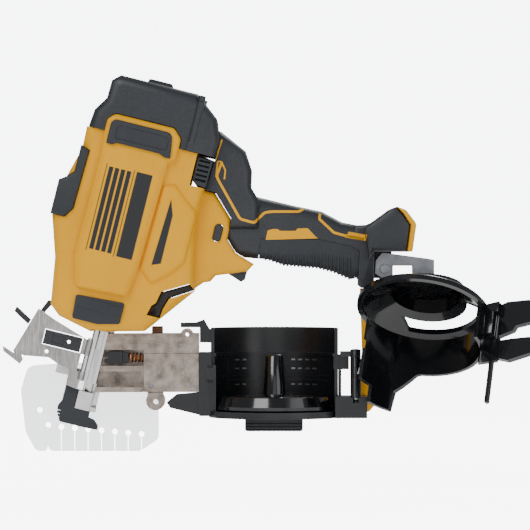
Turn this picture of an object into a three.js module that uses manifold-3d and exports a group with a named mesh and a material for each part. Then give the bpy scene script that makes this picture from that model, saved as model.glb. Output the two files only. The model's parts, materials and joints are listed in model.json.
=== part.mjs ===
// Cordless coil roofing nailer, battery pack removed, magazine cover and feed door open.
// Millimetres, +Z up, +X from the nose to the back of the handle, -Y the tool's left side.
// The drive unit is drawn in its own upright frame (u, y, w), w along the drive axis, and leans back by TILT.
// The handle and the magazine are drawn in the level frame (x, y, z). Both frames start at the nose tip.
import * as THREE from 'three';
import { mergeVertices } from 'three/addons/utils/BufferGeometryUtils.js';
import Module from 'manifold-3d';

const wasm = await Module();
wasm.setup();

// Driving dimensions
const TILT = THREE.MathUtils.degToRad(14);
const GAP = 0.3;
const GRIP_CENTRE = new THREE.Vector3(195, 0, 158);
const BODY_HALF = 38;
const PANEL_HALF = 44;
const CAP_HALF = 41;
const NECK_HALF = 24;
const HUMP_HALF = 27;
const GRIP_HALF = 19;
const CORE_HALF = 15;
const FOOT_HALF = 34;
const NOSE_FRONT = -9;
const TRIP_FRONT = -8; // the contact trip slides a millimetre clear of the door's knuckles
const DOOR_THICKNESS = 4;
const DOOR_FRONT = NOSE_FRONT - GAP - DOOR_THICKNESS;
const CANISTER = { x: 163.3, inner: 50.5, outer: 53.5, base: 13, top: 82.5 };
const COVER_OPEN = THREE.MathUtils.degToRad(150);
const COVER_HINGE = new THREE.Vector3(231, -18, 47);
const COVER_HINGE_LEAN = THREE.MathUtils.degToRad(16);
const COVER_AXIS = new THREE.Vector3(0, Math.sin(COVER_HINGE_LEAN), Math.cos(COVER_HINGE_LEAN));
const CUP_SLOPE = 11.3; // degrees, the cup's roof falling towards the tool's right side
const CUP_MIDDLE = 108;
const FLYWHEEL = { u: 24, w: 192, radius: 22 };
const ROUND = 56; // sides of the largest cylinders

// Finishes
const finish = (color, roughness, metalness) => ({ color, roughness, metalness });
const YELLOW = finish(0xf2b71c, 0.42, 0);
const BLACK_PLASTIC = finish(0x3a3f46, 0.6, 0);
const RUBBER = finish(0x2f3338, 0.85, 0);
const GLOSS_BLACK = finish(0x101216, 0.2, 0);
const SATIN_BLACK = finish(0x1e2226, 0.45, 0);
const CAST = finish(0xb4a89c, 0.55, 0.7);
const BRUSHED = finish(0xcdcbc6, 0.38, 0.9);
const CHROME = finish(0xd8d8d8, 0.15, 1);
const ZINC = finish(0xc4c8cc, 0.35, 0.9);
const COPPER = finish(0xb06a40, 0.35, 0.9);
const BRONZE = finish(0x7c5c48, 0.5, 0.6);
const CLEAR = finish(0xc8d0d6, 0.1, 0);
const BOARD = finish(0x1d5a38, 0.5, 0);

// ---- making solids -------------------------------------------------------------------------------------

const toPoint = (u, w) => [
  u * Math.cos(TILT) + w * Math.sin(TILT),
  -u * Math.sin(TILT) + w * Math.cos(TILT),
];

function solid(geometry) {
  geometry.deleteAttribute('normal');
  geometry.deleteAttribute('uv');
  const merged = mergeVertices(geometry, 1e-4);
  return new wasm.Manifold(new wasm.Mesh({
    numProp: 3,
    vertProperties: new Float32Array(merged.attributes.position.array),
    triVerts: new Uint32Array(merged.index.array),
  }));
}

const join = (...pieces) => pieces.reduce((a, b) => a.add(b));
const cut = (body, ...tools) => tools.reduce((a, b) => a.subtract(b), body);

// An outline from [x, z, corner radius] points. Corners tighter than sharpBelow stay sharp.
function outline(points, sharpBelow = 0) {
  const shape = new THREE.Shape();
  points.forEach(([x, z, wanted = 0], i) => {
    const corner = new THREE.Vector2(x, z);
    const back = new THREE.Vector2(...points.at(i - 1).slice(0, 2)).sub(corner);
    const ahead = new THREE.Vector2(...points[(i + 1) % points.length].slice(0, 2)).sub(corner);
    const halfTurn = (Math.PI - Math.abs(back.angleTo(ahead))) / 2;
    const reach = Math.min(wanted * Math.tan(halfTurn), back.length() / 2.02, ahead.length() / 2.02);
    const radius = reach / Math.tan(halfTurn);
    if (wanted === 0 || radius < sharpBelow || halfTurn < 0.02) {
      if (i === 0) shape.moveTo(x, z);
      else shape.lineTo(x, z);
      return;
    }
    const start = corner.clone().add(back.clone().setLength(reach));
    const end = corner.clone().add(ahead.clone().setLength(reach));
    const middle = back.normalize().add(ahead.normalize()).setLength(radius / Math.cos(halfTurn)).add(corner);
    const angle = (point) => Math.atan2(point.y - middle.y, point.x - middle.x);
    const clockwise = (start.x - x) * (end.y - z) - (start.y - z) * (end.x - x) > 0;
    if (i === 0) shape.moveTo(start.x, start.y);
    else shape.lineTo(start.x, start.y);
    shape.absarc(middle.x, middle.y, radius, angle(start), angle(end), clockwise);
  });
  return shape;
}

// A plate lying in the x-z plane from y0 to y1, its outer edges rounded by bevel.
function plate(points, y0, y1, { bevel = 0, steps = 3, curves = 2 } = {}) {
  const geometry = new THREE.ExtrudeGeometry(outline(points, 1.2 * bevel), {
    depth: y1 - y0 - 2 * bevel,
    curveSegments: curves,
    bevelEnabled: bevel > 0,
    bevelThickness: bevel,
    bevelSize: bevel,
    bevelOffset: -bevel,
    bevelSegments: steps,
  });
  geometry.rotateX(Math.PI / 2);
  geometry.translate(0, y1 - bevel, 0);
  return solid(geometry);
}

// The same plate grown by the running gap on all sides, for cutting its own pocket.
function pocket(points, y0, y1, gap = GAP) {
  const geometry = new THREE.ExtrudeGeometry(outline(points), {
    depth: y1 - y0,
    curveSegments: 3,
    bevelThickness: gap,
    bevelSize: gap,
    bevelSegments: 1,
  });
  geometry.rotateX(Math.PI / 2);
  geometry.translate(0, y1, 0);
  return solid(geometry);
}

function box(x0, x1, y0, y1, z0, z1) {
  const geometry = new THREE.BoxGeometry(x1 - x0, y1 - y0, z1 - z0);
  geometry.translate((x0 + x1) / 2, (y0 + y1) / 2, (z0 + z1) / 2);
  return solid(geometry);
}

// A solid of revolution about an axis from a [radius, height] profile.
function turned(profile, axis, [x, y, z] = [0, 0, 0], sides = 24) {
  const geometry = new THREE.LatheGeometry(profile.map(([r, h]) => new THREE.Vector2(r, h)), sides);
  if (axis === 'z') geometry.rotateX(Math.PI / 2);
  if (axis === 'x') geometry.rotateZ(-Math.PI / 2);
  geometry.translate(x, y, z);
  const made = solid(geometry);
  return made.volume() > 0 ? made : solid(flipped(geometry));
}

function flipped(geometry) {
  const index = geometry.index.array;
  for (let i = 0; i < index.length; i += 3) [index[i], index[i + 1]] = [index[i + 1], index[i]];
  return geometry;
}

const disc = (radius, h0, h1, axis, place, sides) =>
  turned([[0, h0], [radius, h0], [radius, h1], [0, h1]], axis, place, sides);

const ring = (inner, outer, h0, h1, axis, place, sides) =>
  turned([[inner, h0], [outer, h0], [outer, h1], [inner, h1], [inner, h0]], axis, place, sides);

// A round bar between two points.
function bar(radius, from, to, sides = 12) {
  const start = new THREE.Vector3(...from);
  const along = new THREE.Vector3(...to).sub(start);
  const geometry = new THREE.CylinderGeometry(radius, radius, along.length(), sides);
  geometry.applyQuaternion(new THREE.Quaternion().setFromUnitVectors(
    new THREE.Vector3(0, 1, 0), along.clone().normalize()));
  geometry.translate(...start.addScaledVector(along, 0.5).toArray());
  return solid(geometry);
}

// A helical spring along +X from start, wire radius and coil radius given.
function spring(start, length, turns, coil, wire) {
  class Helix extends THREE.Curve {
    getPoint(t) {
      const angle = 2 * Math.PI * turns * t;
      return new THREE.Vector3(
        start[0] + length * t, start[1] + coil * Math.cos(angle), start[2] + coil * Math.sin(angle));
    }
  }
  const section = new THREE.Shape();
  for (let i = 0; i < 6; i += 1) {
    const angle = (Math.PI / 3) * i;
    const point = [wire * Math.cos(angle), wire * Math.sin(angle)];
    if (i === 0) section.moveTo(...point);
    else section.lineTo(...point);
  }
  return solid(new THREE.ExtrudeGeometry(section, {
    steps: turns * 10, extrudePath: new Helix(), bevelEnabled: false,
  }));
}

const leftHalf = (body) => cut(body, box(-400, 600, -GAP / 2, 200, -400, 600));
const rightHalf = (body) => cut(body, box(-400, 600, -200, GAP / 2, -400, 600));
const leaned = (body) => body.rotate([0, THREE.MathUtils.radToDeg(TILT), 0]);
const mirrored = (body) => body.scale([1, -1, 1]);

function mesh(name, body, look) {
  const { vertProperties, triVerts } = body.getMesh();
  const geometry = new THREE.BufferGeometry();
  geometry.setAttribute('position', new THREE.BufferAttribute(new Float32Array(vertProperties), 3));
  geometry.setIndex(new THREE.BufferAttribute(new Uint32Array(triVerts), 1));
  geometry.computeVertexNormals();
  const made = new THREE.Mesh(geometry, new THREE.MeshStandardMaterial(look));
  made.name = name;
  return made;
}

function group(...children) {
  const made = new THREE.Group();
  made.add(...children);
  return made;
}

// ---- drive unit, upright frame (u, y, w) ---------------------------------------------------------------

const HOUSING_TOP = 245;
const HOUSING_OUTLINE = [
  [-54, 262], [-53, 226], [-60, 200], [-64, 167], [-53, 133], [-47, 94], [-38, 86.5], [-9, 80],
  [34, 91], [44, 104], [66, 133], [54, 190], [54, 262],
];
const NECK_OUTLINE = [
  [48, 150], [62, 131.5], [71.7, 142, 3], [76.7, 144], [80, 150], [90, 154], [105, 160], [109, 167.3, 2],
  [91.7, 172.7, 4], [82.3, 181.8, 3], [81.5, 198.8, 3], [63, 217.2], [48, 217.2],
];
const PANEL_OUTLINE = [
  [-37, 230], [-38, 140], [-31, 113, 6], [14, 115, 6], [17, 140], [20, 230], [25.5, 236], [25.5, 253, 6],
  [18, 260.6, 6], [-32.5, 260.6, 6], [-38, 255, 5], [-38, 236],
];
const BULGE_OUTLINE = [
  [20, 213], [30, 216], [53, 197, 6], [53.5, 155, 10], [45, 143, 10], [30, 130], [18, 140],
];
const CAP_OUTLINE = [
  [-54, 226], [-50.5, 260], [-43, 272], [-42.5, 287], [-36, 293], [30, 293], [50, 277], [57, 258],
  [55.5, 226],
];
const CAP_SCREWS = [-1, 1].flatMap((side) => [
  [-44.5, side * (CAP_HALF - 6), 257.3],
  [34, side * (CAP_HALF - 1.5), 287.3],
]);
const CAP_BAND_WIDE = [[-38, 240], [-38, 255, 5], [-32.5, 261, 6], [18, 261, 6], [26, 253, 6], [26, 240]];
const TOP_PAD = [
  [-34, 235], [-34, 256, 5], [17.5, 256, 5], [20.8, 235], [15.8, 235], [10.8, 237], [-25, 237], [-29, 235],
];
const TOP_PAD_RECESS = [[-28, 240.5, 2], [-28, 252, 3], [15.5, 252, 3], [16.5, 240.5, 2]];
const LOWER_PAD = [[-28, 107.5, 2], [13, 110, 2], [13, 92, 2], [-5, 87.5], [-26.7, 87.5, 2]];
const FRONT_GUARD = [
  [-46, 226], [-47.5, 176], [-53, 167.5, 2], [-66, 167.5], [-66, 196], [-60, 200], [-54, 206], [-54, 229],
];
const LOWER_GUARD = [[33, 105], [35, 113], [38, 116], [40, 126], [61, 138], [66, 134], [47.5, 122.5],
  [44.5, 113], [43.6, 105]];
const VENT_OUTLINE = [[41.9, 243.2], [55.6, 242.6], [54.9, 218.4], [46.3, 219], [41.9, 223]];
const TRIGGER_OUTLINE = [
  [78, 148, 1], [79, 161, 3], [83, 167.5, 3], [92, 169, 3], [105, 164, 1], [104.7, 152.5, 1.5],
  [101.7, 150, 1.5], [95, 152.5, 5], [87, 154.7, 5], [81.7, 152, 2],
];
const TRIGGER_SLOT = [[75, 146], [75, 173], [79, 176], [107, 176], [107, 146]];
const LOCK_OUTLINE = [[70, 178, 3], [70, 192.5, 3], [76.7, 192.5, 3], [76.7, 178, 3]];
const ROD_OFFSET = 17;

function cavities() {
  return join(
    box(-47, 36, -30, 30, 150, 246),
    box(-42, 26, -30, 30, 106, 152),
    box(-30, 24, -24, 24, 94, 108),
    box(35, 42, -30, 30, 150, 230),
    box(41, 47.5, -15, 15, 167, 216),
  );
}

function drawHousing() {
  const base = cut(
    plate(HOUSING_OUTLINE, -BODY_HALF, BODY_HALF, { bevel: 8, steps: 4 }),
    box(-90, 90, -90, 90, HOUSING_TOP, 280),
    box(41.3, 90, -90, 90, 218, 280),
    box(-9, 5, -90, 90, 60, 82.5),
  );
  const shell = join(
    base,
    plate(PANEL_OUTLINE, -PANEL_HALF, PANEL_HALF, { bevel: 4, steps: 3 }),
    plate(BULGE_OUTLINE, -BODY_HALF - 4, BODY_HALF + 4, { bevel: 5, steps: 3 }),
    plate(NECK_OUTLINE, -NECK_HALF, NECK_HALF, { bevel: 4, steps: 3 }),
  );
  const bosses = [-45.5, 33.2].flatMap((u) => [-1, 1].map((side) =>
    bar(4.6, [u, side * (BODY_HALF - 4.5), 226], [u, side * (BODY_HALF - 4.5), 245], 16)));
  return cut(
    join(shell, ...bosses),
    cavities(),
    box(-60, 60, -33.5, 33.5, HOUSING_TOP, 262),
    pocket(FRONT_GUARD, -60, -28),
    pocket(FRONT_GUARD, 28, 60),
    pocket(LOWER_GUARD, -60, 60),
    pocket(TRIGGER_SLOT, -8.3, 8.3),
    pocket(LOCK_OUTLINE, -60, 60),
    box(-7, 5.6, -7, 7, 70, 95),
    box(-7, 9.4, 15.8, 20.4, 70, 94.2),
  );
}

function drawCap() {
  const tubes = [-1, 1].flatMap((side) => [
    bar(3.4, [34, side * (CAP_HALF - 1.5), 252], [34, side * (CAP_HALF - 1.5), 287], 14),
    bar(5.2, [34, side * (CAP_HALF - 4), 245.4], [34, side * (CAP_HALF - 4), 257], 16),
    bar(4.8, [-44.5, side * (CAP_HALF - 6), 245.4], [-44.5, side * (CAP_HALF - 6), 257], 16),
  ]);
  return cut(
    join(plate(CAP_OUTLINE, -CAP_HALF, CAP_HALF, { bevel: 8, steps: 4 }), ...tubes),
    box(-90, 90, -90, 90, 200, HOUSING_TOP + GAP),
    box(-46, 36, -31, 31, 240, 284),
    pocket(CAP_BAND_WIDE, -70, -33),
    pocket(CAP_BAND_WIDE, 33, 70),
    box(-20, 14, -10, 10, 291, 300),
    ...CAP_SCREWS.map(([u, y, w]) => disc(3.4, w - GAP, 300, 'z', [u, y, 0], 16)),
  );
}

function drawVent() {
  const slots = [0, 1, 2, 3, 4].flatMap((i) => [-60, 31].map((y) => (
    box(44, 53.5, y, y + 29, 223 + 4 * i, 224.8 + 4 * i)
  )));
  return cut(plate(VENT_OUTLINE, -36, 36, { bevel: 2, steps: 2 }), ...slots);
}

function drawTopPad() {
  return cut(
    plate(TOP_PAD, -PANEL_HALF - 3.4, -PANEL_HALF - GAP, { bevel: 1.2, steps: 2 }),
    plate(TOP_PAD_RECESS, -60, -PANEL_HALF - 2.4),
  );
}

function drawLowerPad() {
  return join(
    plate(LOWER_PAD, -BODY_HALF - 2.6, -BODY_HALF - GAP, { bevel: 1, steps: 2 }),
    box(-27, 12.5, -BODY_HALF - 3.4, -BODY_HALF - 1, 98.5, 105.5),
  );
}

function drawFrontGuard() {
  return cut(
    plate(FRONT_GUARD, -BODY_HALF - 4, -29, { bevel: 3, steps: 2 }),
    box(-70, -59.4, -60, 0, 150, 167), box(-70, -65, -60, 0, 150, 230),
  );
}

function drawNosepiece() {
  const body = join(
    box(-8, 4.5, NOSE_FRONT, 14, 37.5, 82.2),
    box(-4.7, 1.7, -5.2, 5.4, 24, 40),
    box(-31, -7, -3, 5, 39, 46.5),
  );
  const knuckle = (w0, w1) => bar(3, [-9, -11.3, w0], [-9, -11.3, w1], 16);
  const lugs = join(knuckle(45, 59), box(-9, -6, -12, -8, 45, 59));
  return cut(
    join(body, lugs),
    box(-3.4, 2.2, -20, 4.4, 20, 84),
    bar(3.4, [-9, -11.3, 59.01], [-9, -11.3, 84], 16),
    bar(3.4, [-9, -11.3, 28], [-9, -11.3, 44.99], 16),
    bar(1.9, [-9, -11.3, 20], [-9, -11.3, 90], 12),
    box(-13, -9.4, -20, -3.3, 30, 90),
  );
}

function drawFeedDoor() {
  const sheet = plate([
    [-57, 87.5], [-52, 86], [-42, 82], [-13, 72.8], [-9.3, 71], [-9.3, 30], [-19.5, 31.5], [-19.5, 44.5],
    [-31, 47, 3], [-39, 50, 4], [-59, 46.6], [-69, 48.6],
  ], DOOR_FRONT, DOOR_FRONT + DOOR_THICKNESS);
  const flange = plate([[-57, 87.5], [-51, 86], [-62, 47.2], [-69, 48.6]], DOOR_FRONT, DOOR_FRONT + 6.5);
  const back = DOOR_FRONT + DOOR_THICKNESS;
  const hook = plate([[-78.5, 50], [-76.8, 46], [-61, 39], [-59.4, 43.6]], DOOR_FRONT, back);
  const foot = plate([[-69, 49.5], [-62, 48], [-59.4, 42], [-66, 42]], DOOR_FRONT, back);
  const knuckles = join(
    bar(3, [-9, -11.3, 59.4], [-9, -11.3, 72.4], 16),
    bar(3, [-9, -11.3, 38.2], [-9, -11.3, 44.6], 16),
  );
  return cut(
    join(sheet, flange, hook, foot, knuckles),
    bar(4.9, [-9, -11.3, 44.7], [-9, -11.3, 59.3], 16),
    bar(1.9, [-9, -11.3, 20], [-9, -11.3, 90], 12),
    box(-47.4, -14.3, -30, 0, 59.6, 73),
    bar(1.6, [-41.8, -20, 54.5], [-41.8, 0, 54.5], 12),
  );
}

const drawCheckPawl = () => cut(
  box(-46.8, -15, DOOR_FRONT + 0.1, DOOR_FRONT + DOOR_THICKNESS - 0.5, 60.2, 72.4),
  bar(1.5, [-25.6, -20, 66.7], [-25.6, 0, 66.7], 12),
  box(-40, -29, -20, DOOR_FRONT + 1.2, 62.6, 70),
);

const DOOR_LATCH = [[-75.5, 85], [-76.5, 80.5], [-62.6, 72.6], [-61.2, 77]];
// The open door rests against this stop, which hangs from the housing's lower front corner.
const DOOR_STOP = [[-55.6, 85.6], [-52.4, 84.2], [-47.6, 93.2], [-48, 96.5], [-51.2, 96.2]];

function drawContactArm() {
  const sleeve = cut(
    box(-8, 4.5, TRIP_FRONT, 9, 14, 29.5),
    box(-5.1, 2.1, -5.6, 5.8, 10, 35),
  );
  const bridge = cut(box(-8, 4.5, 8, 19.4, 14, 22), box(-5.1, 2.1, -5.6, 5.8, 10, 35));
  const strap = box(-6, 8.6, 16.6, 19.4, 14, 86);
  const finger = box(4, 9.6, -3, 3, 14, 18);
  return join(sleeve, bridge, strap, finger);
}

function drawNoMarTip() {
  const body = plate([
    [-19.5, 31], [-8.4, 29.3], [-8.4, 13.6], [4.8, 13.6], [5, 8.5], [10, 7.5], [14, 4], [14.8, 0.7], [6, 0],
    [-17.4, 0], [-21.5, 7], [-22, 13], [-19.5, 18],
  ], TRIP_FRONT, 9);
  const grooves = [2.6, 5.4, 8.2].map((w) => box(-23, -18.6, -10, 10, w, w + 1.2));
  return cut(body, box(-4.8, 3.2, -6, 6, -2, 16), ...grooves);
}

function drawCarriage() {
  const blade = box(-2.4, 1.2, -3, 3, 66, 166);
  const slider = box(-2.8, 1.6, -19.6, 19.6, 161, 226);
  const wings = [-ROD_OFFSET, ROD_OFFSET].map((y) => box(-4.8, 3.6, y - 3.8, y + 3.8, 161, 226));
  const bores = [-ROD_OFFSET, ROD_OFFSET].map((y) => bar(2.7, [-0.6, y, 150], [-0.6, y, 240]));
  return cut(join(blade, slider, ...wings), ...bores);
}

function drawDriveFrame() {
  const side = (y0, y1) => box(-18, 40, y0, y1, 160, 224);
  const shaftHoles = bar(4.4, [FLYWHEEL.u, -40, FLYWHEEL.w], [FLYWHEEL.u, 40, FLYWHEEL.w], 20);
  return cut(
    join(side(-28, -24.5), side(24.5, 28), box(-18, 12, -28, 28, 234, 239),
      box(-18, -10, -28, -24.5, 220, 236), box(-18, -10, 24.5, 28, 220, 236)),
    shaftHoles,
    ...[-ROD_OFFSET, ROD_OFFSET].map((y) => bar(2.5, [-0.6, y, 230], [-0.6, y, 242], 12)),
  );
}

function drawFlywheel() {
  const { u, w, radius } = FLYWHEEL;
  const rim = ring(18.5, radius, -13, 13, 'y', [u, 0, w], 32);
  const web = ring(8.4, 19, 9.5, 13, 'y', [u, 0, w], 32);
  return join(rim, web);
}

function drawStator() {
  const { u, w } = FLYWHEEL;
  const slots = Array.from({ length: 6 }, (_, i) => {
    const slot = box(8, 20, -20, 20, -1.6, 1.6).rotate([0, 60 * i, 0]);
    return slot.translate([u, 0, w]);
  });
  return cut(ring(4.4, 17.4, -12, 8, 'y', [u, 0, w], 32), ...slots);
}

const CAP_SCREW_NAMES = ['front_left', 'rear_left', 'front_right', 'rear_right']
  .map((at) => `cap_screw_${at}`);

const drawCapScrew = (u, y, w) => cut(
  disc(3, w, w + 5, 'z', [u, y, 0], 16),
  disc(1.6, w + 3, w + 6, 'z', [u, y, 0], 6),
);

function driveUnit() {
  const housing = drawHousing();
  const { u, w } = FLYWHEEL;
  const topPad = drawTopPad();
  const lowerPad = drawLowerPad();
  const guard = drawFrontGuard();
  return group(
    mesh('housing_left', leftHalf(housing), YELLOW),
    mesh('housing_right', rightHalf(housing), YELLOW),
    mesh('motor_cap', drawCap(), BLACK_PLASTIC),
    mesh('vent_grille', drawVent(), RUBBER),
    mesh('top_bumper_left', topPad, RUBBER),
    mesh('top_bumper_right', mirrored(topPad), RUBBER),
    mesh('lower_bumper_left', lowerPad, RUBBER),
    mesh('lower_bumper_right', mirrored(lowerPad), RUBBER),
    mesh('front_guard_left', guard, RUBBER),
    mesh('front_guard_right', mirrored(guard), RUBBER),
    mesh('lower_guard', plate(LOWER_GUARD, -32, 32, { bevel: 1.5, steps: 2 }), RUBBER),
    mesh('stall_release', plate([[-14, 291.4], [-14, 297, 2], [7, 297, 2], [7, 291.4]], -9, 9),
      BLACK_PLASTIC),
    mesh('trigger', plate(TRIGGER_OUTLINE, -7.8, 7.8, { bevel: 1.2, steps: 2 }), BLACK_PLASTIC),
    mesh('trigger_lock', plate(LOCK_OUTLINE, -NECK_HALF - 2.5, NECK_HALF + 2.5, { bevel: 0.8, steps: 1 }),
      BLACK_PLASTIC),
    mesh('nosepiece', drawNosepiece(), CHROME),
    mesh('feed_door', drawFeedDoor(), BRUSHED),
    mesh('feed_door_pin', bar(1.6, [-9, -11.3, 37.6], [-9, -11.3, 74], 12), CHROME),
    mesh('check_pawl', drawCheckPawl(), BLACK_PLASTIC),
    mesh('door_latch', plate(DOOR_LATCH, DOOR_FRONT + 6.8, DOOR_FRONT + 10), BLACK_PLASTIC),
    mesh('door_stop', plate(DOOR_STOP, -6.5, 0), BLACK_PLASTIC),
    mesh('contact_arm', drawContactArm(), CHROME),
    mesh('no_mar_tip', drawNoMarTip(), RUBBER),
    mesh('driver_blade', drawCarriage(), CHROME),
    mesh('guide_rod_left', bar(2.2, [-0.6, -ROD_OFFSET, 94.6], [-0.6, -ROD_OFFSET, 239]), CHROME),
    mesh('guide_rod_right', bar(2.2, [-0.6, ROD_OFFSET, 94.6], [-0.6, ROD_OFFSET, 239]), CHROME),
    mesh('end_bumper', cut(box(-12, 11, -22, 22, 94.4, 100.6), box(-3.4, 2.2, -4, 4, 80, 110),
      ...[-ROD_OFFSET, ROD_OFFSET].map((y) => bar(2.5, [-0.6, y, 80], [-0.6, y, 110], 12))), RUBBER),
    mesh('drive_frame', drawDriveFrame(), CAST),
    mesh('flywheel', drawFlywheel(), CHROME),
    mesh('motor_stator', drawStator(), COPPER),
    mesh('motor_shaft', disc(4, -28, 28, 'y', [u, 0, w], 20), CHROME),
    mesh('flywheel_bearing', ring(4.4, 8, 9, 13.5, 'y', [u, 0, w], 20), BRUSHED),
    mesh('pinch_roller', ring(2.4, 7, -11, 11, 'y', [-12, 0, w], 24), CHROME),
    mesh('solenoid', cut(box(-46, -25, -12, 12, w - 11, w + 11), bar(4.4, [-50, 0, w], [0, 0, w], 16)),
      COPPER),
    mesh('solenoid_plunger', join(
      bar(4, [-43, 0, w], [-20.5, 0, w], 16), box(-22.6, -19.6, -15, 15, w - 4, w + 4),
      box(-22.6, -9, 12, 15, w - 4, w + 4), box(-22.6, -9, -15, -12, w - 4, w + 4),
      bar(2, [-12, -15, w], [-12, 15, w], 12)), BRUSHED),
    ...CAP_SCREWS.map((place, i) => mesh(CAP_SCREW_NAMES[i], drawCapScrew(...place), BLACK_PLASTIC)),
  );
}

// ---- handle and foot, level frame (x, y, z) ------------------------------------------------------------

const HUMP_OUTLINE = [
  [100, 196], [106, 250], [119, 246.5], [139.4, 230], [144.6, 214], [144, 200], [151, 188], [150, 165],
  [112, 165],
];
const GRIP_OUTLINE = [
  [112, 170], [126, 196], [146, 193], [177.5, 185.4], [203, 180], [220, 171], [240, 167], [244, 150],
  [240, 128], [228, 123.2], [212.4, 129.8], [199.7, 133], [171, 135.4], [158.4, 139.8], [130, 142],
];
const STEM_OUTLINE = [[230, 168.4], [240, 168.8], [246.6, 172], [246.6, 116], [236, 116], [227, 124.4]];
const FOOT_OUTLINE = [
  [238, 166], [247.3, 172.7, 6], [260, 182, 6], [264.5, 183.6], [270.5, 177.4], [276.5, 168.5],
  [273.6, 146.3], [246, 146.3], [242, 140],
];
const RIM_OUTLINE = [
  [264.8, 184], [272.7, 181, 5], [281.4, 169.5, 5], [278, 146.3], [273.9, 146.3], [276.9, 168.5],
  [270.8, 177.6],
];
const SLEEVE_OUTLINE = [
  [153, 158, 3], [156, 156.6], [200, 156.6], [226, 151], [234, 147], [233, 116], [150, 124],
  [150.5, 150],
];
const CORE_OUTLINE = [
  [148, 190], [235, 166], [238, 118], [231, 125.5], [214, 133.5], [199.7, 137], [172, 139.4],
  [159.4, 143.8], [148, 143.8],
];

function drawHandle(housingEnvelope) {
  const shell = join(
    plate(HUMP_OUTLINE, -HUMP_HALF, HUMP_HALF, { bevel: 8, steps: 4 }),
    plate(STEM_OUTLINE, -GRIP_HALF, GRIP_HALF, { bevel: 3, steps: 2 }),
    plate(GRIP_OUTLINE, -GRIP_HALF, GRIP_HALF, { bevel: 9, steps: 4 }),
    plate(FOOT_OUTLINE, -FOOT_HALF, FOOT_HALF, { bevel: 4, steps: 2 }),
    box(246, 262, 7.6, 12, 124, 148),
  );
  const sleeveSpace = cut(
    pocket(SLEEVE_OUTLINE, -60, 60),
    plate(CORE_OUTLINE, -CORE_HALF, CORE_HALF),
  );
  const hollow = join(
    box(118, 138, -18, 18, 176, 222),
    plate([[134, 178], [150, 182], [200, 173], [228, 162], [236, 130], [231, 134], [200, 143], [172, 146],
      [160, 150], [150, 150], [136, 150]], -11, 11),
  );
  return cut(
    shell,
    housingEnvelope,
    sleeveSpace,
    hollow,
    box(252, 300, -27, 27, 149, 174),
    bar(1.9, [256, 0, 132], [256, 30, 132], 12),
    leaned(pocket(TRIGGER_SLOT, -8.3, 8.3)),
  );
}

const drawSleeve = () => cut(
  plate(GRIP_OUTLINE, -GRIP_HALF - 0.6, GRIP_HALF + 0.6, { bevel: 9, steps: 4 })
    .intersect(plate(SLEEVE_OUTLINE, -60, 60)),
  pocket(CORE_OUTLINE, -CORE_HALF, CORE_HALF),
);

function drawTerminals() {
  const slots = [-16, -8, 8, 16].map((y) => box(266, 280, y - 1.6, y + 1.6, 153, 170));
  return cut(box(254, 272, -22, 22, 150, 172.5), ...slots);
}

function drawRafterHook() {
  const arm = cut(
    plate([[247.8, 128], [248.4, 139, 3], [254, 145.8, 3], [293, 140.6], [297.8, 139.6], [297.8, 127],
      [290, 124], [254, 124, 3]], 4, 7),
    plate([[263, 134.5], [263, 126], [279, 126], [279, 134.5]], 0, 10),
    bar(2.6, [256, 0, 132], [256, 20, 132], 16),
  );
  return join(arm, box(294.8, 297.8, 6, 24, 127, 139.6));
}

function housingEnvelope() {
  return leaned(join(
    pocket(NECK_OUTLINE, -60, 60),
    pocket(HOUSING_OUTLINE, -60, 60),
    pocket(CAP_OUTLINE, -60, 60),
    pocket(VENT_OUTLINE, -60, 60),
  ));
}

function handleUnit() {
  const handle = drawHandle(housingEnvelope());
  return group(
    mesh('handle_left', leftHalf(handle), BLACK_PLASTIC),
    mesh('handle_right', rightHalf(handle), BLACK_PLASTIC),
    mesh('grip_sleeve', drawSleeve(), RUBBER),
    mesh('foot_rim', cut(plate(RIM_OUTLINE, -FOOT_HALF - 1, FOOT_HALF + 1),
      box(260, 300, -27, 27, 146, 174)), YELLOW),
    mesh('terminal_block', drawTerminals(), SATIN_BLACK),
    mesh('control_board', box(252.6, 253.6, -20, 20, 151, 172), BOARD),
    mesh('trigger_switch', box(139, 155, -7, 7, 157, 171), SATIN_BLACK),
    mesh('rafter_hook', drawRafterHook(), ZINC),
    mesh('hook_bolt', join(disc(4.6, 1.6, 3.7, 'y', [256, 0, 132], 6),
      disc(1.6, 3, 12, 'y', [256, 0, 132], 12)), ZINC),
    mesh('magazine_bracket', plate([
      [235.5, 115.6], [246.4, 115.6], [248.5, 80], [249, 18, 6], [243, 11, 4], [233.5, 12, 4], [235, 30],
      [237.5, 58], [236.5, 84],
    ], 10.5, 24, { bevel: 2, steps: 2 }), YELLOW),
  );
}

// ---- feed block, magazine and cover, level frame (x, y, z) ---------------------------------------------

function drawFeedBlock() {
  const body = plate([toPoint(4.9, 30.8), toPoint(4.9, 81.3), [100, 78], [100, 28.7]], NOSE_FRONT, 16);
  const lowerLug = join(disc(8, NOSE_FRONT, 8, 'y', [63.7, 0, 21.5], 24), box(57, 70, NOSE_FRONT, 8, 24, 32));
  const upperLug = disc(5.4, NOSE_FRONT, 0, 'y', [90, 0, 76.8], 20);
  return cut(
    join(body, lowerLug, upperLug),
    box(18.5, 53.8, -20, 4.5, 50.8, 64.3),
    box(8, 53.8, -20, 4.5, 32.8, 46.2),
    box(50, 101, -6.9, 3, 31, 58),
    box(53.5, 101, -20, NOSE_FRONT + 2, 28, 61.3),
    bar(5.4, [50, -1.2, 57.6], [74, -1.2, 57.6], 16),
    box(59.6, 70.6, -6.4, 6.4, 71.5, 84),
    bar(2.4, [63.7, -20, 20.3], [63.7, 20, 20.3], 14),
    bar(1.7, [90, -20, 76.8], [90, 20, 76.8], 12),
  );
}

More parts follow.
